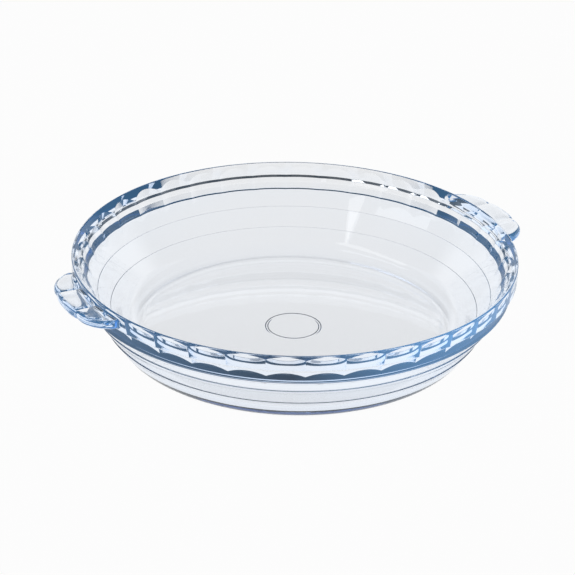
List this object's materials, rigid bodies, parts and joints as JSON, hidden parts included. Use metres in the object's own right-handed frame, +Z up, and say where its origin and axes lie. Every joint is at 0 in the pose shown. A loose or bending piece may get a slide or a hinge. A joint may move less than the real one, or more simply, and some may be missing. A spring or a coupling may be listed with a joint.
{
  "type": "pie dish",
  "caption": "Round clear glass pie dish with sloping sides, a fluted rim and lobed lug handles on opposite sides, for baking and serving.",
  "frame": {"origin": "centre of the flat underside that the dish stands on", "axes": "+Z up along the dish's axis, +X out through one lug handle, the other handle along -X"},
  "size_m": [0.2574, 0.23, 0.0478],
  "materials": {
    "glass": "polished"
  },
  "bodies": {
    "root": {"base": "glass", "side_wall": "glass", "rim_collar": "glass", "flute_band": "glass", "right_handle": "glass", "left_handle": "glass"}
  },
  "joints": []
}
